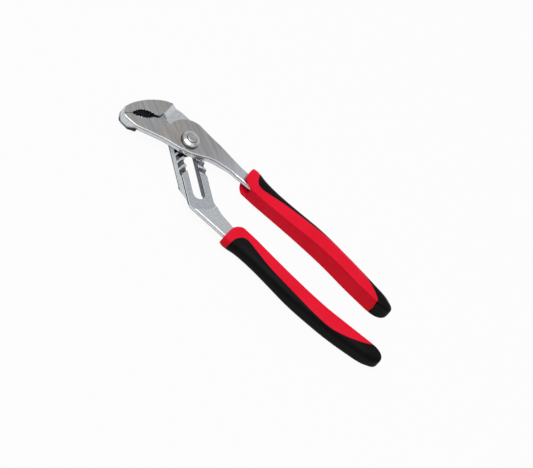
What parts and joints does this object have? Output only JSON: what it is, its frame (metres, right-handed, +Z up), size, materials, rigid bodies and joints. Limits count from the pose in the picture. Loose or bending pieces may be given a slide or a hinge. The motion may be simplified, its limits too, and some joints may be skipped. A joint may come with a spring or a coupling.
{
  "type": "water pump pliers",
  "caption": "Groove-joint water pump pliers with curved toothed jaws, a slotted lever with arc grooves, a sliding pivot bolt and red and black moulded grips.",
  "frame": {"origin": "middle of the footprint, on the surface the pliers lie on", "axes": "+X from the jaws to the handle ends, +Y towards the tongue lever's handle, +Z up through the thickness"},
  "size_m": [0.2496, 0.0706, 0.0168],
  "materials": {
    "ground_steel": "ground faces, blasted recesses",
    "plated_steel": "bright plated",
    "red_plastic": "satin gloss",
    "black_rubber": "soft matt"
  },
  "bodies": {
    "slotted": {"slotted_lever": "ground_steel", "slotted_grip_sleeve": "red_plastic", "slotted_grip_overmould": "black_rubber"},
    "pivot": {"pivot_bolt": "plated_steel", "pivot_washer": "plated_steel", "pivot_nut": "plated_steel"},
    "tongue": {"tongue_lever": "ground_steel", "tongue_grip_sleeve": "red_plastic", "tongue_grip_overmould": "black_rubber"}
  },
  "joints": [
    {"name": "station_slide", "type": "slide", "parent": "slotted", "child": "pivot", "axis": [0.7373, -0.6756, 0], "range_m": [0, 0.0354]},
    {"name": "jaw_pivot", "type": "hinge", "parent": "pivot", "child": "tongue", "pos_m": [-0.0755, 0.01183, 0.0105], "axis": [0, 0, 1], "range_deg": [0, 47]}
  ]
}
